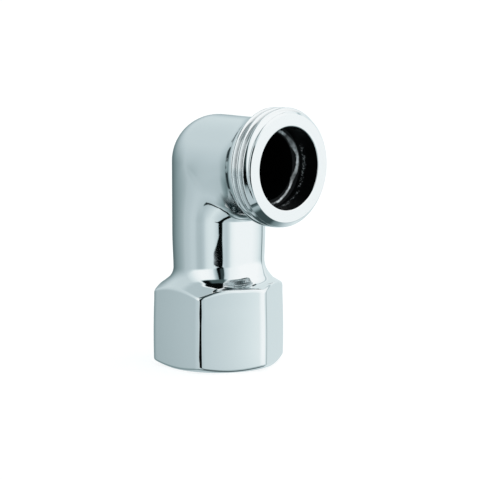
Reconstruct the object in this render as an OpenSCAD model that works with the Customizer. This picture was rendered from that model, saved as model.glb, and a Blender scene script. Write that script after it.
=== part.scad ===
// Wall outlet elbow: a female pipe thread in a spanner hexagon at the bottom,
// a slim round body that turns through a right angle, and a male pipe thread at the top.
// The origin is the centre of the inlet's face, +Z runs up the body, and the outlet looks along +X.

/* [Inlet hexagon] */
// Width of the hexagon across its flats
hex_af = 27; // [26:0.5:32]
// Radius of the hexagon's six corners, seen from below
hex_corner_r = 1.6; // [0.6:0.1:3]
// Height of the shoulder's lower edge at the middle of each flat
hex_h = 18.4; // [17.5:0.1:24]
// Slope of the turned shoulder above the flats, in degrees
shoulder_slope = 33; // [20:1:40]
// Slope of the turned chamfer below the flats, in degrees
base_slope = 24; // [12:1:40]
// Inset of the inlet's flat face from the flats
base_inset = 0.7; // [0.3:0.1:1.2]

/* [Body] */
// Height of the outlet's axis above the inlet's face
axis_h = 46.2; // [42:0.2:60]
// Distance of the outlet's face from the body's own axis
outlet_reach = 22.2; // [21:0.2:36]
// Diameter of the body at the bend and along the outlet's stub
body_d = 21; // [20:0.1:22]
// Diameter of the neck where its fillet begins
neck_d = 20.4; // [19:0.1:22]
// Radius of the fillet between the neck and the shoulder
neck_fillet_r = 3.6; // [1:0.2:5]
// Radius inside the corner of the bend
bend_r = 2.3; // [0.6:0.1:5]
// Diameter of the water's passage
passage_d = 15; // [11:0.5:16]

/* [Pipe threads] */
// Pitch of both threads, at fourteen turns to the inch
pitch = 1.814; // [1.3:0.001:2]
// Outside diameter of the outlet's male thread
outlet_thread_d = 26.44; // [25:0.01:28]
// Length of the male thread, with its run-out
outlet_thread_len = 7; // [5.5:0.1:9]
// Distance of the first crest from the outlet's face
first_crest = 1.25; // [1:0.05:1.8]
// Largest diameter of the inlet's female thread
inlet_thread_d = 20.96; // [19:0.01:22]
// Length of the female thread
inlet_thread_len = 13.5; // [8:0.5:16]

/* [Outlet socket] */
// Outside diameter of the outlet's flat face
outlet_face_d = 24; // [23:0.1:25]
// Diameter of the socket behind that face
socket_d = 18.3; // [16.5:0.1:19.5]
// Depth of the socket
socket_depth = 5.7; // [3:0.1:9]
// Width of the small chamfers at the mouths
edge_chamfer = 0.25; // [0.1:0.05:0.6]

/* [Hidden] */
$fn = 96;

// Extra length by which cutters pass the faces that they cut
cut_over = 1;
// Depth of a parallel pipe thread, and the width of its crests and roots
thread_depth = 0.6403 * pitch;
land = pitch / 6;
// Angle of a drill's point, from its axis
drill_angle = 59;

flat_r = hex_af / 2;
corner_centre_r = (flat_r - hex_corner_r) / cos(30);
hex_reach_r = corner_centre_r + hex_corner_r;
body_r = body_d / 2;
neck_r = neck_d / 2;
passage_r = passage_d / 2;
crest_r = outlet_thread_d / 2;
inlet_r = inlet_thread_d / 2 - thread_depth;
face_r = flat_r - base_inset;

// The fillet's centre, worked out from the neck and the shoulder's cone that it touches
fillet_x = neck_r + neck_fillet_r;
fillet_z = shoulder_z(fillet_x) + neck_fillet_r / cos(shoulder_slope);

// Height at which the inner corner starts to curve
bend_z = axis_h - body_r - bend_r;

// Height of the shoulder's cone at a given radius
function shoulder_z(r) = hex_h - (r - flat_r) * tan(shoulder_slope);

// Height of the base chamfer's cone at a given radius
function base_z(r) = (r - face_r) * tan(base_slope);

// The hexagon from below: six rounded corners, the first of them under the outlet
module hexagon_plan() {
    polygon([
        for (i = [0:5], side = [-30, 30])
            corner_centre_r * [cos(60 * i), sin(60 * i)]
            + hex_corner_r * [cos(60 * i + side), sin(60 * i + side)]
    ]);
    for (i = [0:5])
        rotate(60 * i)
            translate([corner_centre_r, 0])
                circle(r = hex_corner_r);
}

// Half of the turned blank: inlet face, base chamfer, shoulder and neck fillet
module blank_profile() {
    blank_r = hex_reach_r + cut_over;
    difference() {
        polygon([
            [0, 0],
            [face_r, 0],
            [blank_r, base_z(blank_r)],
            [blank_r, shoulder_z(blank_r)],
            [
                fillet_x - neck_fillet_r * sin(shoulder_slope),
                fillet_z - neck_fillet_r * cos(shoulder_slope)
            ],
            [fillet_x, fillet_z],
            [0, fillet_z]
        ]);
        translate([fillet_x, fillet_z])
            circle(r = neck_fillet_r);
    }
}

// The spanner hexagon, cut from the turned blank
module hexagon() {
    intersection() {
        rotate_extrude() blank_profile();
        linear_extrude(height = fillet_z + cut_over) hexagon_plan();
    }
}

// The body below the bend, drawn in slightly towards the neck
module barrel() {
    translate([0, 0, fillet_z])
        cylinder(r1 = neck_r, r2 = body_r, h = bend_z - fillet_z);
    translate([0, 0, bend_z])
        cylinder(r = body_r, h = axis_h - bend_z);
}

// The round outer corner, the stub of the outlet and the filled inner corner
module bend() {
    translate([0, 0, axis_h]) {
        sphere(r = body_r);
        rotate([0, 90, 0])
            cylinder(r = body_r, h = outlet_reach - outlet_thread_len);
    }
    translate([body_r + bend_r, 0, bend_z])
        rotate([90, 0, 0])
            rotate([0, 0, 90])
                rotate_extrude(angle = 90)
                    translate([body_r + bend_r, 0])
                        circle(r = body_r);
}

// One turn of a thread's groove, as a ring with its wide side at radius mouth_r and its root at root_r
module thread_groove(mouth_r, root_r) {
    side = root_r > mouth_r ? -1 : 1;
    rotate_extrude()
        polygon([
            [root_r, -land / 2],
            [root_r, land / 2],
            [mouth_r, (pitch - land) / 2],
            [mouth_r + side * cut_over, (pitch - land) / 2],
            [mouth_r + side * cut_over, -(pitch - land) / 2],
            [mouth_r, -(pitch - land) / 2]
        ]);
}

// The male thread along +Z, with its outlet face at the height of its length
module male_thread() {
    root_r = crest_r - thread_depth;
    grooves = floor((outlet_thread_len - first_crest) / pitch);
    run_out = outlet_thread_len - first_crest - pitch * (grooves - 0.5);
    difference() {
        intersection() {
            union() {
                translate([0, 0, run_out])
                    cylinder(r = crest_r, h = outlet_thread_len - run_out);
                cylinder(r = root_r, h = outlet_thread_len);
                translate([0, 0, body_r - root_r])
                    cylinder(r1 = body_r, r2 = root_r, h = root_r - body_r);
            }
            rotate_extrude()
                polygon([
                    [0, body_r - root_r],
                    [crest_r + cut_over, body_r - root_r],
                    [crest_r + cut_over, outlet_thread_len - (crest_r + cut_over - outlet_face_d / 2)],
                    [outlet_face_d / 2, outlet_thread_len],
                    [0, outlet_thread_len]
                ]);
        }
        for (i = [1:grooves])
            translate([0, 0, outlet_thread_len - first_crest - pitch * (i - 0.5)])
                thread_groove(crest_r, root_r);
    }
}

// The female thread's hole up from the inlet's face, and the drill's cone above it
module inlet_hole() {
    mouth_r = inlet_thread_d / 2 + edge_chamfer;
    translate([0, 0, -cut_over])
        cylinder(r = inlet_r, h = inlet_thread_len + cut_over);
    translate([0, 0, -cut_over])
        cylinder(r1 = mouth_r + cut_over, r2 = mouth_r - thread_depth - edge_chamfer,
                 h = thread_depth + edge_chamfer + cut_over);
    for (z = [1.5 * pitch:pitch:inlet_thread_len - pitch])
        translate([0, 0, z])
            thread_groove(inlet_r, inlet_thread_d / 2);
    translate([0, 0, inlet_thread_len])
        cylinder(r1 = inlet_r, r2 = passage_r, h = (inlet_r - passage_r) / tan(drill_angle));
}

// The passage for the water: up the body, round the corner and out through the socket
module passage() {
    cylinder(r = passage_r, h = axis_h);
    translate([0, 0, axis_h]) {
        sphere(r = passage_r);
        rotate([0, 90, 0]) {
            cylinder(r = passage_r, h = outlet_reach);
            translate([0, 0, outlet_reach - socket_depth])
                cylinder(r = socket_d / 2, h = socket_depth + cut_over);
            translate([0, 0, outlet_reach - edge_chamfer])
                cylinder(r1 = socket_d / 2, r2 = socket_d / 2 + edge_chamfer + cut_over,
                         h = edge_chamfer + cut_over);
        }
    }
}

module elbow_body() {
    color([0.82, 0.84, 0.86])
        difference() {
            union() {
                hexagon();
                barrel();
                bend();
                translate([outlet_reach - outlet_thread_len, 0, axis_h])
                    rotate([0, 90, 0])
                        male_thread();
            }
            inlet_hole();
            passage();
        }
}

elbow_body();
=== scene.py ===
"""Wall outlet elbow: a chrome-plated pipe fitting, made in one piece.

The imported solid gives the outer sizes. This script builds the finished surface as one closed mesh: rings of
points that run up the outside from the inlet to the outlet, and back down the bore. Lengths are in
millimetres until the mesh is made, and angles go round each ring from the side under the outlet.
"""

import bpy
import numpy as np
from mathutils import Matrix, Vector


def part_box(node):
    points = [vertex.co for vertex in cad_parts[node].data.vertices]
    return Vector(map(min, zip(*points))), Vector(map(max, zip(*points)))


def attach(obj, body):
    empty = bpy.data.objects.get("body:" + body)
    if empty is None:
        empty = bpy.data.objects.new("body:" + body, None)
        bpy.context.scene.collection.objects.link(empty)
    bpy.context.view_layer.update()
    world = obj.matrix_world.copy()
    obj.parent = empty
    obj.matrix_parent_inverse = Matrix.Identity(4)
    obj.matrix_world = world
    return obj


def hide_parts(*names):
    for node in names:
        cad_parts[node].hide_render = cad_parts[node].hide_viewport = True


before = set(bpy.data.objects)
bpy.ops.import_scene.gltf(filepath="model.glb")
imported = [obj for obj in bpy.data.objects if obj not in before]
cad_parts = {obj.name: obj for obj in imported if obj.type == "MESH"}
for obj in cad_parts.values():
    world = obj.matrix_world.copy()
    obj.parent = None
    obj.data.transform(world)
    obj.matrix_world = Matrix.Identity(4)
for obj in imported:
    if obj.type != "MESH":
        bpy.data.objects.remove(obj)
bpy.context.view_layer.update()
_, HIGH = (np.array(corner) * 1000 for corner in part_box("elbow_body"))

# Pipe threads, fourteen turns to the inch
PITCH = 1.814
THREAD_DEPTH = 0.6403 * PITCH
THREAD_R = 13.22
THREAD_ROOT_R = THREAD_R - THREAD_DEPTH
# Slope of a ridge's flanks and softness of its crest and root, in depths per half turn and in depths
RIDGE_SLOPE = 1.5
RIDGE_SOFT = 0.35

# Spanner hexagon. Its shoulder stands HEX_RISE higher on the outlet's side, and as much lower behind.
FLAT_R = HIGH[1] - 0.08
CORNER_R = 0.4
HEX_H = 18.5
HEX_RISE = 0.45
HEX_TWIST = np.radians(-1.5)
SIXTH = np.radians(60)
SHOULDER_SLOPE = np.radians(33)
BASE_SLOPE = np.radians(24)
BASE_INSET = 0.7
FACE_EDGE_R = 0.4
BASE_EDGE_R = 0.8
SHOULDER_EDGE_R = 1.1
# Height at which the hexagon's rings give way to the neck's
HEX_TOP = 25.0
# Lift of the shoulder's outer edge, in millimetres, against degrees round from the side under the outlet
EDGE_LIFT = [(-180, 0), (-120, 0.1), (-60, -0.45), (-25, -0.3), (-2, 0.5), (30, 0.3), (120, 0), (180, 0)]

# Polish on the flats: a flat turns by FLAT_CROWN from its middle to its end, HALF_FLAT away. The wheel draws
# its last EDGE_STRIP down, by EDGE_BEND times the millimetres into the strip to the power EDGE_EASE.
HALF_FLAT = 7.8
FLAT_CROWN = np.radians(1.9)
EDGE_STRIP = 0.85
EDGE_BEND = np.radians(12)
EDGE_EASE = 0.42
# The flats also bow inwards above and below BOW_MIDDLE, by HEX_BOW at BOW_TOP, and not inside BOW_START_R
HEX_BOW = 0.2
BOW_MIDDLE = 6.5
BOW_TOP = 15.5
BOW_START_R = 11.8

# Neck and body. The neck's fillet is wider on the outlet's side, and narrower behind.
NECK_R = 10.3
BODY_R = 10.55
TAPER_START = 21
TAPER_END = 30.3
NECK_FILLET_R = 4.6
NECK_FILLET_RISE = 1.6

# Bend. Its rings fan round a pivot inside the corner, at a distance of TURN_R from both axes.
AXIS_H = HIGH[2] - THREAD_R
BEND_R = 2.3
TURN_R = BODY_R + BEND_R
BEND_Z = AXIS_H - TURN_R
BEND_FILLET = 1.2
# Softness of the seam between the two pipes, and how far inside the corner it is full
BEND_SOFT = 0.7
BEND_SOFT_DEPTH = 4
SHARP = 1e-6

# Outlet: the stub widens towards the thread
REACH = HIGH[0]
STUB_FLARE = 0.05
FLARE_START = 10.7
FLARE_LEN = 3.2
# Male thread, with distances behind the outlet's face
THREAD_LEN = 7.0
THREAD_PHASE = 0.8
THREAD_END = 5.75
RUN_OUT_SLOPE = 1.9
# The first crest is wider by a share of a turn, and the root before it fills up at the face
FIRST_CREST_EXTRA = 0.08
FIRST_CREST_FADE = (2.6, 1.9)
FACE_FILL = 0.35
FACE_FILL_FADE = (0.45, 0.1)
# Softness where the thread's back, the stub and the chamfer meet the thread
BACK_SOFT = 0.5
STUB_SOFT = 0.35
CHAMFER_SOFT = 0.08
CHAMFER_SLOPE = np.tan(np.radians(43))
CHAMFER_R = 11.9
CHAMFER_FOOT = 0.15
# Rows of rings along the stub, the thread and its first crest: first and last distance, and how many
THREAD_ROWS = [(REACH - TURN_R - 0.3, 8.8, 3), (8.7, 1.6, 72), (1.55, 0.2, 28)]

# Bore, with a ledge behind the socket that slopes in like a drill's cone
SOCKET_R = 9.15
SOCKET_DEPTH = 5.7
LEDGE_DROP = 0.6
PASSAGE_R = 7.5
# Female thread
INLET_ROOT_R = 10.48
INLET_CREST_R = INLET_ROOT_R - THREAD_DEPTH
INLET_THREAD_LEN = 13.5
INLET_RUN_OUT = 1.5
DRILL_ANGLE = np.radians(59)
MOUTH_R = INLET_ROOT_R + 0.25
MOUTH_SOFT = 0.15
MOUTH_EDGE = 0.28
MOUTH_FLAT = 0.3
# Rows of the outlet's face, counted from its outer edge, that are still plated
PLATED_ROWS = 14

# Points round each ring, closer together at the hexagon's corners
SECTORS = 6
PER_SECTOR = 36
CORNER_CROWDING = 0.75
# Halvings of a search for a length
HALVINGS = 40

# Camera, fitted to the photograph's outlines
CAMERA_AZIMUTH = np.radians(44.75)
CAMERA_ELEVATION = np.radians(8.4)
CAMERA_DISTANCE = 454.3
CAMERA_ASIDE = 4.83
CAMERA_HEIGHT = 28.11
CAMERA_LENS = 150.0
CAMERA_SENSOR = 36
BACK_FLAT = np.array([np.cos(CAMERA_AZIMUTH), -np.sin(CAMERA_AZIMUTH), 0])
RIGHT = np.array([np.sin(CAMERA_AZIMUTH), np.cos(CAMERA_AZIMUTH), 0])

# The studio round the part, as grey levels against degrees to the right of the camera: what stands at the
# horizon, the light cards above it, and the table below it
WALLS = [
    (-180, 150), (-165, 105), (-150, 112), (-125, 147), (-111, 162), (-99, 177), (-93, 188), (-79, 195),
    (-70, 201), (-61, 199), (-54, 185), (-45, 183), (-38, 193), (-30, 216), (-22, 224), (-12, 224), (2, 200),
    (11, 206), (15, 199), (21, 198), (25, 209), (27, 216), (30.5, 232), (36, 239), (44, 243), (90, 243),
    (104, 238), (118, 230), (134, 206), (136, 120), (139.5, 120), (141, 218),
]
CARDS = [
    (-180, 219), (-150, 212), (-126, 208), (-92, 207), (-82, 220), (-66, 238), (-50, 246), (-28, 245),
    (-16, 236), (-11, 200), (-6, 160), (4, 150), (11, 170), (16, 214), (28, 238), (50, 247), (110, 247),
    (126, 242), (136, 238), (137, 190), (140, 190), (141, 234), (150, 226), (180, 226),
]
TABLE = [
    (-180, 192), (-150, 185), (-126, 122), (-102, 158), (-90, 186), (-66, 198), (-45, 189), (-20, 224),
    (6, 194), (40, 186), (66, 214), (100, 150), (126, 170), (150, 228), (180, 196),
]
# Left and right edge of the dark gap between the cards, in degrees to the right, against degrees up
GAP_EDGES = [
    (-56, 24, 38), (-45, 16, 28), (-34, 9, 20), (-24, 5, 14), (-19, 2, 12), (-14, -2, 11.5),
    (-13.75, -13.3, 11), (-13.4, -13.3, 11), (-13.1, -11, 10.5), (-12.6, -9, 10.5), (-11.5, -5, 10),
    (-9.8, -2.2, 9.5), (-8.6, 0.5, 9.5), (-8, 2.3, 9.5), (-7.4, -4, 11), (-3, -6, 12), (30, -4, 12),
    (50, -3, 11), (75, -3, 11),
]
# Degrees that the ramp of the gap's edges spans, and the softness of the edges as a share of them
GAP_SPAN = 60
GAP_SOFT = 0.02
# Degrees from straight down to the near edge of the sheet on the table, against degrees to the right
SHEET_EDGE = [(-60, 64), (-50, 61), (-46, 55), (-38, 47), (-22, 36), (6, 34), (37, 41), (62, 48), (90, 51)]
# Reflected levels of the studio's grey, and the colour that each one has
TINTS = [
    (0, (0, 0, 0)), (90, (72, 90, 92)), (147, (128, 147, 150)), (197, (182, 197, 201)),
    (225, (213, 225, 227)), (243, (238, 243, 244)), (252, (251, 252, 252)),
]
# Share of light that clean chrome sends back
CHROME_SHINE = 0.9

# Painted highlight on the socket's ledge, a band of reflected light: degrees round from the bottom, radius,
# half width and grey level
LEDGE_HIGHLIGHT = [
    (8, 8.4, 0.2, 120), (18, 8.4, 0.28, 255), (35, 8.25, 0.28, 255), (51, 8.15, 0.28, 245),
    (66, 7.95, 0.5, 120), (76, 8.35, 0.5, 170), (88, 8.65, 0.38, 240), (103, 8.75, 0.34, 250),
    (121, 8.35, 0.7, 165), (141, 8.2, 0.38, 110), (154, 8.2, 0.34, 235), (162, 8, 0.3, 0),
]

# Half the side of the floor, in metres
FLOOR_HALF = 3.0


def ring_angles():
    turn = np.arange(SECTORS * PER_SECTOR) / PER_SECTOR
    return SIXTH * (turn - CORNER_CROWDING / (2 * np.pi) * np.sin(2 * np.pi * turn)) + HEX_TWIST


ANGLE = ring_angles()
COUNT = len(ANGLE)


def even(value):
    """The same value at every point of a ring."""
    return np.full(COUNT, float(value))


def smooth_min(a, b, soft):
    share = np.clip(soft - np.abs(a - b), 0, None) / soft
    return np.minimum(a, b) - share**2 * soft / 4


def smooth_max(a, b, soft):
    return -smooth_min(-a, -b, soft)


def smooth_step(low, high, value):
    """Smooth step from 0 at low to 1 at high, where low may be the larger."""
    share = np.clip((value - low) / (high - low), 0, 1)
    return share * share * (3 - 2 * share)


def eased(table, degrees):
    """Value of a table of (degrees, value) pairs, level at each pair and smooth between them."""
    places, values = np.array(table, float).T
    k = np.clip(np.searchsorted(places, degrees, side="right") - 1, 0, len(places) - 2)
    return values[k] + (values[k + 1] - values[k]) * smooth_step(places[k], places[k + 1], degrees)


def half_side(edge_y):
    """Points of a hexagon side from its middle to its corner, if the corner's arc starts at edge_y."""
    y = np.linspace(0, edge_y, 240)
    strip = np.maximum(y - edge_y + EDGE_STRIP, 0)
    turn = FLAT_CROWN * y / HALF_FLAT + EDGE_BEND * strip**EDGE_EASE
    slope = np.tan(turn)
    x = FLAT_R - np.concatenate([[0], np.cumsum((slope[1:] + slope[:-1]) / 2 * np.diff(y))])
    arc = np.linspace(turn[-1], SIXTH / 2, 30)[1:]
    arc_x = x[-1] + CORNER_R * (np.cos(arc) - np.cos(turn[-1]))
    arc_y = y[-1] + CORNER_R * (np.sin(arc) - np.sin(turn[-1]))
    return np.concatenate([x, arc_x]), np.concatenate([y, arc_y])


def hexagon_radius():
    """Distance from the axis to the polished hexagon, in each ring direction."""
    low, high = 5.0, 8.0
    for _ in range(HALVINGS):
        edge_y = (low + high) / 2
        x, y = half_side(edge_y)
        if np.arctan2(y[-1], x[-1]) < SIXTH / 2:
            low = edge_y
        else:
            high = edge_y
    off_middle = np.abs((ANGLE - HEX_TWIST) % SIXTH - SIXTH / 2)
    return np.interp(off_middle, np.arctan2(y, x), np.hypot(x, y))


def rounded(points, radii, steps, spans):
    """Profile rows through points, with each inner corner rounded and each straight span divided.

    points are (radius, height) pairs of ring arrays. radii and steps belong to the inner corners, and spans
    to the straight lengths between them.
    """
    points = [np.stack([even(0) + r, even(0) + z], 1) for r, z in points]
    rows = [points[0]]

    def straight(end, count):
        start = rows[-1]
        for i in range(1, count + 1):
            rows.append(start + (end - start) * i / count)

    for k in range(1, len(points) - 1):
        radius = even(0) + radii[k - 1]
        back = points[k - 1] - points[k]
        ahead = points[k + 1] - points[k]
        back /= np.linalg.norm(back, axis=1)[:, None]
        ahead /= np.linalg.norm(ahead, axis=1)[:, None]
        half = np.arccos(np.clip((back * ahead).sum(1), -1, 1)) / 2
        reach = (radius / np.tan(half))[:, None]
        middle = back + ahead
        middle /= np.linalg.norm(middle, axis=1)[:, None]
        centre = points[k] + middle * (radius / np.sin(half))[:, None]
        straight(points[k] + back * reach, spans[k - 1])
        first = rows[-1] - centre
        last = points[k] + ahead * reach - centre
        bend = (np.pi - 2 * half)[:, None]
        for i in range(1, steps[k - 1] + 1):
            t = i / steps[k - 1]
            rows.append(centre + (np.sin((1 - t) * bend) * first + np.sin(t * bend) * last) / np.sin(bend))
    straight(points[-1], spans[-1])
    return rows


def upright(rows):
    """Rings about the inlet's axis, from (radius, height) rows."""
    return [np.stack([r * np.cos(ANGLE), r * np.sin(ANGLE), z], 1) for r, z in (row.T for row in rows)]


def level(rows):
    """Rings about the outlet's axis, from (radius, distance along it) rows."""
    return [
        np.stack([x, r * np.sin(ANGLE), AXIS_H - r * np.cos(ANGLE)], 1) for r, x in (row.T for row in rows)
    ]


def body_radius(height):
    """Radius of the body, which draws in slightly towards the neck."""
    return NECK_R + (BODY_R - NECK_R) * smooth_step(TAPER_START, TAPER_END, height)


def base_z(r):
    """Height of the chamfer under the flats."""
    return (r - FLAT_R + BASE_INSET) * np.tan(BASE_SLOPE)


def shoulder_z(r):
    """Height of the shoulder above the flats."""
    return HEX_H + HEX_RISE * np.cos(ANGLE) - (r - FLAT_R) * np.tan(SHOULDER_SLOPE)


def hexagon_rings():
    """Inlet face, base chamfer, flats, shoulder and neck fillet."""
    outline = hexagon_radius()
    lift = eased(EDGE_LIFT, (np.degrees(ANGLE) + 180) % 360 - 180)
    points = [
        (MOUTH_R + MOUTH_FLAT, 0),
        (FLAT_R - BASE_INSET, 0),
        (outline, base_z(outline)),
        (outline, shoulder_z(outline) + lift),
        (NECK_R, shoulder_z(NECK_R)),
        (NECK_R, HEX_TOP),
    ]
    fillet_r = NECK_FILLET_R + NECK_FILLET_RISE * np.cos(ANGLE)
    radii = [FACE_EDGE_R, BASE_EDGE_R, SHOULDER_EDGE_R, fillet_r]
    rows = rounded(points, radii, steps=[4, 8, 12, 16], spans=[3, 3, 10, 3, 3])
    for row in rows:
        row[:, 0] += body_radius(row[:, 1]) - NECK_R
        outside = np.clip(row[:, 0] - BOW_START_R, 0, 1)
        height = np.minimum(row[:, 1], BOW_TOP)
        row[:, 0] -= HEX_BOW * ((height - BOW_MIDDLE) / (BOW_TOP - BOW_MIDDLE)) ** 2 * outside
    return upright(rows)


def neck_rings(count):
    """The stretch between the hexagon's rings and the bend's."""
    heights = np.linspace(HEX_TOP, BEND_Z, count + 2)[1:-1]
    return upright(np.stack([even(body_radius(z)), even(z)], 1) for z in heights)


def bend_reach(middle, ahead, radius, soft):
    """Distance from middle, in each direction ahead, to the surface of two pipes that meet at the corner."""
    low, high = even(0), even(3 * radius)
    for _ in range(HALVINGS):
        t = (low + high) / 2
        x, y, z = (middle + ahead * t[:, None]).T
        to_upright = np.hypot(np.hypot(x, y), np.maximum(z - AXIS_H, 0))
        to_level = np.hypot(np.hypot(y, z - AXIS_H), np.minimum(x, 0))
        in_corner = SHARP + soft * smooth_step(0, BEND_SOFT_DEPTH, np.minimum(x, AXIS_H - z))
        inside = smooth_min(to_upright, to_level, in_corner) < radius
        low, high = np.where(inside, t, low), np.where(inside, high, t)
    return low


def flare(along):
    """Growth of the stub's radius towards the thread, at a distance along the outlet's axis."""
    return STUB_FLARE * np.clip(along - FLARE_START, 0, FLARE_LEN) ** 2


def bend_rings(radius_at, count, outside):
    """Rings that fan round the inner corner, which is filled and softened on the outside alone."""
    pivot = np.array([TURN_R, 0, AXIS_H - TURN_R])
    rings = []
    for turn in np.linspace(0, np.pi / 2, count):
        out = np.array([-np.cos(turn), 0, np.sin(turn)])
        middle = pivot + out * TURN_R
        ahead = -np.cos(ANGLE)[:, None] * out + np.sin(ANGLE)[:, None] * np.array([0, 1, 0])
        radius = radius_at(turn)
        reach = bend_reach(middle, ahead, radius, BEND_SOFT if outside else SHARP)
        if outside:
            reach = smooth_max(reach, radius, SHARP + BEND_FILLET * np.sin(2 * turn) ** 2)
        ring = middle + ahead * reach[:, None]
        if outside:
            across = ring[:, 1:] - [0, AXIS_H]
            across *= (flare(ring[:, 0]) / np.maximum(np.linalg.norm(across, axis=1), 1))[:, None]
            ring[:, 1:] += across
        rings.append(ring)
    return rings


def ridge(height):
    """Rounded section of a pipe thread: 1 on a crest and 0 in a root, with height in turns."""
    from_crest = 2 * np.abs((height + 0.5) % 1 - 0.5)
    line = 0.5 + RIDGE_SLOPE * (0.5 - from_crest)
    return smooth_min(smooth_max(line, 0, RIDGE_SOFT), 1, RIDGE_SOFT)


def thread_radius(behind):
    """Radius of the stub and the male thread at a distance behind the outlet's face."""
    turns = (behind - THREAD_PHASE) / PITCH + ANGLE / (2 * np.pi)
    wider = FIRST_CREST_EXTRA * smooth_step(*FIRST_CREST_FADE, behind)
    height = THREAD_DEPTH * np.maximum(ridge(turns), ridge(turns + wider))
    height = np.maximum(height, FACE_FILL * smooth_step(*FACE_FILL_FADE, behind))
    height = np.minimum(height, RUN_OUT_SLOPE * np.maximum(THREAD_END - behind, 0))
    radius = smooth_min(THREAD_ROOT_R + height, THREAD_ROOT_R + THREAD_LEN - behind, BACK_SOFT)
    radius = smooth_max(radius, BODY_R + flare(REACH - behind), STUB_SOFT)
    return smooth_min(radius, CHAMFER_R + behind / CHAMFER_SLOPE, CHAMFER_SOFT)


def thread_rings():
    """Stub, male thread and the chamfer before the face."""
    behinds = np.concatenate([np.linspace(*rows) for rows in THREAD_ROWS])
    return level(np.stack([thread_radius(b), even(REACH - b)], 1) for b in behinds)


def face_rings():
    """The outlet's face with its soft edges, the socket, the ledge and the passage's first stretch."""
    points = [
        (CHAMFER_R + CHAMFER_FOOT / CHAMFER_SLOPE, REACH - CHAMFER_FOOT),
        (CHAMFER_R, REACH),
        (SOCKET_R, REACH),
        (SOCKET_R, REACH - SOCKET_DEPTH),
        (PASSAGE_R, REACH - SOCKET_DEPTH - LEDGE_DROP),
        (PASSAGE_R, TURN_R + 0.4),
    ]
    rows = rounded(points, [0.15, 0.25, 0.15, 0.2], steps=[5, 5, 4, 5], spans=[1, 4, 8, 2, 3])
    return level(rows)


def inlet_rings():
    """Down from the passage: the drill's cone, the female thread and its mouth."""
    cone_top = INLET_THREAD_LEN + (INLET_CREST_R - PASSAGE_R) / np.tan(DRILL_ANGLE)
    thread_top = INLET_THREAD_LEN - 0.6
    rows = rounded(
        [
            (PASSAGE_R, BEND_Z - 0.5),
            (PASSAGE_R, cone_top),
            (INLET_CREST_R, INLET_THREAD_LEN),
            (INLET_CREST_R, INLET_THREAD_LEN - 0.5),
        ],
        [0.2, 0.2],
        steps=[3, 3],
        spans=[5, 2, 1],
    )
    for z in np.linspace(thread_top, 0.3, 84):
        turns = z / PITCH - ANGLE / (2 * np.pi)
        run_out = smooth_step(0, INLET_RUN_OUT, thread_top - z)
        radius = INLET_CREST_R + THREAD_DEPTH * ridge(turns) * run_out
        rows.append(np.stack([smooth_max(radius, MOUTH_R - z, MOUTH_SOFT), even(z)], 1))
    mouth = [(MOUTH_R - MOUTH_EDGE, MOUTH_EDGE), (MOUTH_R, 0), (MOUTH_R + MOUTH_FLAT, 0)]
    rows += rounded(mouth, [0.2], steps=[4], spans=[1, 1])[:-1]
    return upright(rows)


def outer_rings():
    """The plated outside, from the inlet's face to the chamfer before the outlet's face."""
    start_r = body_radius(BEND_Z)
    rings = hexagon_rings() + neck_rings(9)
    rings += bend_rings(lambda turn: start_r + (BODY_R - start_r) * np.sin(turn), 72, outside=True)
    return rings + thread_rings()


def inner_rings():
    """The outlet's face, and the bore from there down to the inlet."""
    return face_rings() + bend_rings(lambda turn: PASSAGE_R, 28, outside=False)[::-1] + inlet_rings()


def make_mesh(name):
    """One closed skin of quads between neighbouring rings, with the last ring joined to the first."""
    outer, inner = outer_rings(), inner_rings()
    rings = np.array(outer + inner)
    count = len(rings)
    points = rings.reshape(-1, 3)
    row, column = np.meshgrid(np.arange(count), np.arange(COUNT), indexing="ij")
    next_row, next_column = (row + 1) % count, (column + 1) % COUNT
    corners = [(row, column), (row, next_column), (next_row, next_column), (next_row, column)]
    quads = np.stack([(r * COUNT + c).ravel() for r, c in corners], 1)
    a, b, c, d = (points[quads[:, i]] for i in range(4))
    across = np.cross(c - a, d - b)
    normals = np.zeros_like(points)
    for i in range(4):
        np.add.at(normals, quads[:, i], across)
    normals /= np.linalg.norm(normals, axis=1)[:, None]
    mesh = bpy.data.meshes.new(name)
    mesh.vertices.add(len(points))
    mesh.vertices.foreach_set("co", (points / 1000).ravel())
    mesh.loops.add(quads.size)
    mesh.loops.foreach_set("vertex_index", quads.ravel())
    mesh.polygons.add(len(quads))
    mesh.polygons.foreach_set("loop_start", np.arange(0, quads.size, 4))
    mesh.polygons.foreach_set("material_index", (row.ravel() >= len(outer) + PLATED_ROWS).astype(int))
    mesh.update(calc_edges=True)
    mesh.polygons.foreach_set("use_smooth", np.ones(len(quads), bool))
    mesh.normals_split_custom_set_from_vertices(normals)
    return mesh


def linear(grey):
    """Linear light for a grey level from 0 to 255."""
    share = grey / 255
    return share / 12.92 if share <= 0.04045 else ((share + 0.055) / 1.055) ** 2.4


def wire(tree, *pairs):
    for source, target in pairs:
        tree.links.new(source, target)


def node(tree, kind, **settings):
    made = tree.nodes.new(kind)
    for name, value in settings.items():
        setattr(made, name, value)
    return made


def feed(tree, sockets, values):
    """Link each socket to its value if that is a socket too, and set the socket to it otherwise."""
    for socket, value in zip(sockets, values):
        if isinstance(value, bpy.types.NodeSocket):
            tree.links.new(value, socket)
        else:
            socket.default_value = value


def math_node(tree, operation, *values):
    made = node(tree, "ShaderNodeMath", operation=operation)
    feed(tree, made.inputs, values)
    return made.outputs[0]


def plus(tree, first, second):
    return math_node(tree, "ADD", first, second)


def minus(tree, first, second):
    return math_node(tree, "SUBTRACT", first, second)


def over(tree, first, second):
    return math_node(tree, "DIVIDE", first, second)


def times(tree, *values):
    product = values[0]
    for value in values[1:]:
        product = math_node(tree, "MULTIPLY", product, value)
    return product


def largest(tree, *values):
    top = values[0]
    for value in values[1:]:
        top = math_node(tree, "MAXIMUM", top, value)
    return top


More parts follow.
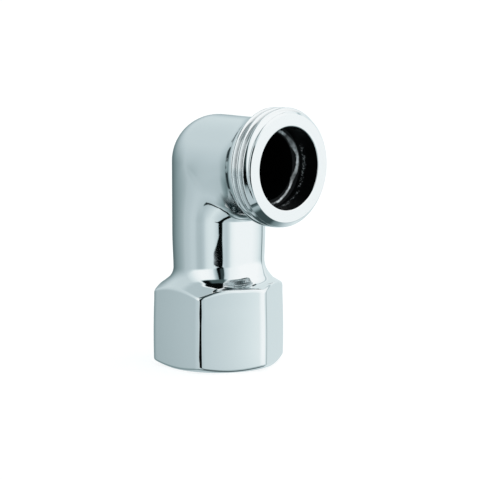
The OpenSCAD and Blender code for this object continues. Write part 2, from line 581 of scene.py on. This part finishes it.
def step(tree, value, low, high):
    """Smooth step from 0 at low to 1 at high, where low may be the larger."""
    made = node(tree, "ShaderNodeMapRange", interpolation_type="SMOOTHSTEP")
    made.inputs["From Min"].default_value = min(low, high)
    made.inputs["From Max"].default_value = max(low, high)
    made.inputs["To Min"].default_value = 0 if low < high else 1
    made.inputs["To Max"].default_value = 1 if low < high else 0
    tree.links.new(value, made.inputs["Value"])
    return made.outputs["Result"]


def band(tree, value, start, full, last, end):
    """Rises from 0 at start to 1 at full, and falls from 1 at last to 0 at end."""
    return times(tree, step(tree, value, start, full), step(tree, value, end, last))


def blend(tree, share, first, second):
    """first where share is 0, and second where it is 1."""
    made = node(tree, "ShaderNodeMix", data_type="FLOAT")
    feed(tree, (made.inputs[0], made.inputs[2], made.inputs[3]), (share, first, second))
    return made.outputs[0]


def colour_blend(tree, share, first, second):
    """Colour first where share is 0, and second where it is 1."""
    made = node(tree, "ShaderNodeMix", data_type="RGBA")
    made.inputs["A"].default_value = (*first, 1)
    made.inputs["B"].default_value = (*second, 1)
    tree.links.new(share, made.inputs["Factor"])
    return made.outputs["Result"]


def ramp(tree, share, stops):
    """Colour ramp through (place, colour) stops."""
    made = node(tree, "ShaderNodeValToRGB")
    elements = made.color_ramp.elements
    while len(elements) < len(stops):
        elements.new(0.5)
    for element, (place, colour) in zip(elements, stops):
        element.position = place
        element.color = (*colour, 1)
    tree.links.new(share, made.inputs[0])
    return made.outputs[0]


def table_ramp(tree, share, pairs):
    """Ramp through (place, value) pairs."""
    return ramp(tree, share, [(place, [value] * 3) for place, value in pairs])


def around(tree, share, levels):
    """Light of a table of grey levels against degrees round the horizon."""
    return table_ramp(tree, share, [(degrees / 360 + 0.5, linear(grey)) for degrees, grey in levels])


def directions(tree):
    """Where a ray goes: its share of the way round, degrees to the camera's right, and degrees up."""
    ray = node(tree, "ShaderNodeTexCoord").outputs["Generated"]
    parts = []
    for axis in (RIGHT, BACK_FLAT, (0, 0, 1)):
        along = node(tree, "ShaderNodeVectorMath", operation="DOT_PRODUCT")
        along.inputs[1].default_value = axis
        wire(tree, (ray, along.inputs[0]))
        parts.append(along.outputs["Value"])
    turn = math_node(tree, "ARCTAN2", parts[0], parts[1])
    share = plus(tree, over(tree, turn, 2 * np.pi), 0.5)
    height = math_node(tree, "ARCSINE", parts[2])
    return share, times(tree, turn, 180 / np.pi), times(tree, height, 180 / np.pi)


def tent_light(tree, share, turn, height):
    """Walls at the horizon, the light cards and the roof above them, and the table below."""
    foot = 9
    top = blend(tree, step(tree, turn, -95, -62), 32, 3)
    risen = over(tree, plus(tree, height, foot), plus(tree, top, foot))
    light = blend(tree, step(tree, risen, 0, 1), around(tree, share, WALLS), around(tree, share, CARDS))
    roof = times(tree, step(tree, height, 47, 57), step(tree, turn, -66, -78))
    light = blend(tree, roof, light, linear(190))
    light = blend(tree, step(tree, height, -12, -26), light, around(tree, share, TABLE))
    under = times(tree, step(tree, height, -46, -72), 0.55)
    return times(tree, light, minus(tree, 1.0, under))


def with_gap(tree, light, turn, height):
    """The dark gap between the cards, whose edges wander with the height."""
    rise = over(tree, plus(tree, height, 90), 180)
    left, right = (
        table_ramp(tree, rise, [((row[0] + 90) / 180, row[side] / GAP_SPAN + 0.5) for row in GAP_EDGES])
        for side in (1, 2)
    )
    place = plus(tree, over(tree, turn, GAP_SPAN), 0.5)
    gap = times(
        tree,
        step(tree, minus(tree, place, left), -GAP_SOFT, GAP_SOFT),
        step(tree, minus(tree, right, place), -GAP_SOFT, GAP_SOFT),
        step(tree, height, -57, -50),
    )
    veil = times(tree, step(tree, turn, 1, 5), step(tree, height, -6, 3))
    return blend(tree, gap, light, blend(tree, veil, linear(8), linear(62)))


def with_opening(tree, light, turn, height):
    """The dark opening in the light tent above the camera, and the dark seam behind it on the right."""
    rise = largest(tree, minus(tree, height, 58), 0)
    lean = minus(tree, turn, times(tree, rise, 0.5))
    veil = times(tree, step(tree, turn, -38, -26), step(tree, height, 68, 65))
    opening = times(tree, step(tree, lean, -64, -57), step(tree, turn, 26, 10), step(tree, height, 46, 53))
    light = blend(tree, opening, light, blend(tree, veil, linear(8), linear(85)))
    seam = times(tree, band(tree, turn, 129, 132, 142, 145), step(tree, height, 47, 53))
    return blend(tree, seam, light, linear(20))


def with_sheet(tree, light, share, turn, height):
    """The near edge of the sheet on the table: a dark line, and the bare table before it."""
    nadir = times(tree, plus(tree, height, 90), 1 / 90)
    edge = table_ramp(tree, share, [(degrees / 360 + 0.5, angle / 90) for degrees, angle in SHEET_EDGE])
    past = times(tree, minus(tree, nadir, edge), 90)
    bare = times(tree, step(tree, past, -7, -14), band(tree, turn, 14, 28, 100, 114))
    light = blend(tree, bare, light, linear(72))
    line = times(tree, band(tree, past, -3.6, -2.2, 1.8, 3.2), band(tree, turn, -53, -50, 95, 98))
    return blend(tree, line, light, blend(tree, step(tree, turn, 16, 24), linear(6), linear(110)))


def studio_world():
    """Surroundings that depend on direction alone. The camera itself sees plain white behind the part."""
    world = bpy.data.worlds.new("studio")
    bpy.context.scene.world = world
    world.use_nodes = True
    tree = world.node_tree
    tree.nodes.clear()
    share, turn, height = directions(tree)
    light = tent_light(tree, share, turn, height)
    light = with_gap(tree, light, turn, height)
    light = with_opening(tree, light, turn, height)
    light = with_sheet(tree, light, share, turn, height)
    tints = [(linear(grey), [linear(v) / CHROME_SHINE for v in tint]) for grey, tint in TINTS]
    backdrop = node(tree, "ShaderNodeBackground")
    backdrop.inputs[0].default_value = (1, 1, 1, 1)
    studio = node(tree, "ShaderNodeBackground")
    pick = node(tree, "ShaderNodeMixShader")
    out = node(tree, "ShaderNodeOutputWorld")
    path = node(tree, "ShaderNodeLightPath")
    wire(
        tree,
        (ramp(tree, light, tints), studio.inputs[0]),
        (path.outputs["Is Camera Ray"], pick.inputs[0]),
        (studio.outputs[0], pick.inputs[1]),
        (backdrop.outputs[0], pick.inputs[2]),
        (pick.outputs[0], out.inputs[0]),
    )


def in_millimetres(tree):
    """The object's own coordinates, as a vector and as three values."""
    scale = node(tree, "ShaderNodeVectorMath", operation="SCALE")
    scale.inputs["Scale"].default_value = 1000
    split = node(tree, "ShaderNodeSeparateXYZ")
    place = node(tree, "ShaderNodeTexCoord")
    wire(tree, (place.outputs["Object"], scale.inputs[0]), (scale.outputs[0], split.inputs[0]))
    return scale.outputs[0], *split.outputs


def noise(tree, place, scale, detail):
    made = node(tree, "ShaderNodeTexNoise")
    made.inputs["Scale"].default_value = scale
    made.inputs["Detail"].default_value = detail
    tree.links.new(place, made.inputs["Vector"])
    return made.outputs[0]


def from_outlet_axis(tree, y, z):
    """Distance from the outlet's axis."""
    down = minus(tree, z, float(AXIS_H))
    return math_node(tree, "SQRT", plus(tree, times(tree, y, y), times(tree, down, down)))


def new_material(name):
    material = bpy.data.materials.new(name)
    material.use_nodes = True
    return material, material.node_tree, material.node_tree.nodes["Principled BSDF"]


def chrome_material():
    """Polished chrome, with painted shade in the groove behind the thread (partly tarnish there), under the
    stub and between the thread's ridges.
    """
    material, tree, shader = new_material("polished_chrome")
    place, x, y, z = in_millimetres(tree)
    reach = from_outlet_axis(tree, y, z)
    blotches = noise(tree, place, 0.9, 3)
    # Painted shade in the groove where the thread's back meets the stub, partly tarnish: darker base colour
    # in a blotched band
    crevice_shade_and_tarnish = times(
        tree,
        band(tree, x, 12.9, 13.6, 14.6, 15.4),
        step(tree, reach, 12.2, 11.5),
        step(tree, y, -5, -9),
        step(tree, noise(tree, place, 0.28, 3), 0.42, 0.52),
    )
    # Painted shade under the stub: darker base colour in blotches
    under_stub_shade = times(
        tree,
        band(tree, x, 9.4, 10.4, 14.4, 15.2),
        band(tree, z, 35, 35.8, 37.6, 41),
        step(tree, reach, 12.6, 12),
        step(tree, y, 0, -3.5),
        step(tree, blotches, 0.2, 0.46),
    )
    # Painted shade between the male thread's ridges: darker base colour, blotched
    root_shade = times(
        tree,
        step(tree, reach, 12.95, 12.3),
        band(tree, x, 16, 16.6, 20.9, 21.2),
        blend(tree, blotches, 0.25, 0.6),
    )
    # All the painted shade, with the tarnish in the groove behind the thread: it darkens the base colour and
    # roughens the surface
    shade_and_tarnish = largest(tree, crevice_shade_and_tarnish, under_stub_shade, root_shade)
    polish = blend(tree, noise(tree, place, 0.35, 2), 0.035, 0.065)
    wave = node(tree, "ShaderNodeBump")
    wave.inputs["Strength"].default_value = 0.12
    wave.inputs["Distance"].default_value = 0.00002
    wire(
        tree,
        (colour_blend(tree, shade_and_tarnish, (0.89, 0.9, 0.905), (0.018, 0.038, 0.043)), shader.inputs["Base Color"]),
        (plus(tree, polish, times(tree, shade_and_tarnish, 0.25)), shader.inputs["Roughness"]),
        (noise(tree, place, 0.22, 1), wave.inputs["Height"]),
        (wave.outputs[0], shader.inputs["Normal"]),
    )
    shader.inputs["Metallic"].default_value = 1
    return material


def bore_material():
    """Bare metal inside, near black from painted shade over its own dull tone, but for a painted highlight on
    the ledge and a line of specks before it.
    """
    material, tree, shader = new_material("turned_bore")
    place, x, y, z = in_millimetres(tree)
    reach = over(tree, from_outlet_axis(tree, y, z), 10)
    ledge_x = float(REACH - SOCKET_DEPTH)
    ledge_end = ledge_x - LEDGE_DROP
    half_turn = over(tree, math_node(tree, "ARCTAN2", y, minus(tree, float(AXIS_H), z)), np.pi)
    middle, width, highlight_level = (
        table_ramp(tree, half_turn, [(row[0] / 180, value(row)) for row in LEDGE_HIGHLIGHT])
        for value in (lambda row: row[1] / 10, lambda row: row[2] / 10, lambda row: linear(row[3]))
    )
    aside = math_node(tree, "ABSOLUTE", minus(tree, reach, middle))
    aside = plus(tree, aside, times(tree, noise(tree, place, 1.6, 3), 0.03))
    # Painted highlight: a bright band of reflected light round the ledge, near white against the dark bore
    ledge_highlight = times(
        tree,
        band(tree, x, ledge_end - 0.5, ledge_end - 0.3, ledge_x + 0.08, ledge_x + 0.15),
        step(tree, over(tree, minus(tree, aside, 0.015), width), 1.1, 0.4),
        highlight_level,
        blend(tree, step(tree, noise(tree, place, 0.9, 3), 0.35, 0.6), 0.6, 1.2),
    )
    specks = times(
        tree,
        band(tree, x, ledge_x + 0.7, ledge_x + 1.2, ledge_x + 1.4, ledge_x + 2.3),
        step(tree, noise(tree, place, 3.4, 5), 0.52, 0.6),
        step(tree, noise(tree, place, 0.5, 2), 0.36, 0.52),
        step(tree, half_turn, 0.68, 0.6),
    )
    bright = largest(tree, ledge_highlight, times(tree, specks, 0.8))
    wire(
        # Near black base colour: painted shade inside the bore over the metal's own dull tone; near white at
        # the ledge's painted highlight and at the specks
        tree,
        (colour_blend(tree, bright, (0.01, 0.011, 0.012), (0.93, 0.97, 0.99)), shader.inputs["Base Color"]),
        (blend(tree, step(tree, specks, 0, 0.1), 0.85, 0.1), shader.inputs["Metallic"]),
        (blend(tree, noise(tree, place, 1.5, 2), 0.35, 0.5), shader.inputs["Roughness"]),
    )
    return material


def build_elbow():
    """The one visible piece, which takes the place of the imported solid."""
    mesh = make_mesh("elbow_chrome")
    elbow = bpy.data.objects.new("elbow_chrome", mesh)
    bpy.context.scene.collection.objects.link(elbow)
    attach(elbow, "root")
    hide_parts("elbow_body")
    mesh.materials.append(chrome_material())
    mesh.materials.append(bore_material())


def floor():
    """A pale floor that only the camera sees, so that it keeps the part's shadow and isn't reflected."""
    mesh = bpy.data.meshes.new("floor")
    corners = [(x * FLOOR_HALF, y * FLOOR_HALF, 0) for x, y in ((-1, -1), (1, -1), (1, 1), (-1, 1))]
    mesh.from_pydata(corners, [], [(0, 1, 2, 3)])
    plane = bpy.data.objects.new("floor", mesh)
    bpy.context.scene.collection.objects.link(plane)
    material = bpy.data.materials.new("pale_floor")
    material.use_nodes = True
    tree = material.node_tree
    tree.nodes.clear()
    glow = node(tree, "ShaderNodeEmission")
    glow.inputs["Color"].default_value = (1, 1, 1, 1)
    glow.inputs["Strength"].default_value = 0.8
    matt = node(tree, "ShaderNodeBsdfDiffuse")
    matt.inputs["Color"].default_value = (0.35, 0.35, 0.35, 1)
    both = node(tree, "ShaderNodeAddShader")
    clear = node(tree, "ShaderNodeBsdfTransparent")
    pick = node(tree, "ShaderNodeMixShader")
    path = node(tree, "ShaderNodeLightPath")
    out = node(tree, "ShaderNodeOutputMaterial")
    wire(
        tree,
        (glow.outputs[0], both.inputs[0]),
        (matt.outputs[0], both.inputs[1]),
        (path.outputs["Is Camera Ray"], pick.inputs[0]),
        (clear.outputs[0], pick.inputs[1]),
        (both.outputs[0], pick.inputs[2]),
        (pick.outputs[0], out.inputs[0]),
    )
    mesh.materials.append(material)


def camera():
    cos_up, sin_up = np.cos(CAMERA_ELEVATION), np.sin(CAMERA_ELEVATION)
    back = BACK_FLAT * cos_up + np.array([0, 0, sin_up])
    up = np.cross(back, RIGHT)
    place = RIGHT * CAMERA_ASIDE + np.array([0, 0, CAMERA_HEIGHT]) + back * CAMERA_DISTANCE
    data = bpy.data.cameras.new("camera")
    data.sensor_width = CAMERA_SENSOR
    data.lens = CAMERA_LENS
    data.clip_start = 0.01
    data.clip_end = 10
    shot = bpy.data.objects.new("camera", data)
    bpy.context.scene.collection.objects.link(shot)
    shot.matrix_world = Matrix.Translation(place / 1000) @ Matrix(np.stack([RIGHT, up, back], 1)).to_4x4()
    bpy.context.scene.camera = shot


build_elbow()
studio_world()
floor()
camera()
bpy.context.scene.view_settings.view_transform = "Standard"
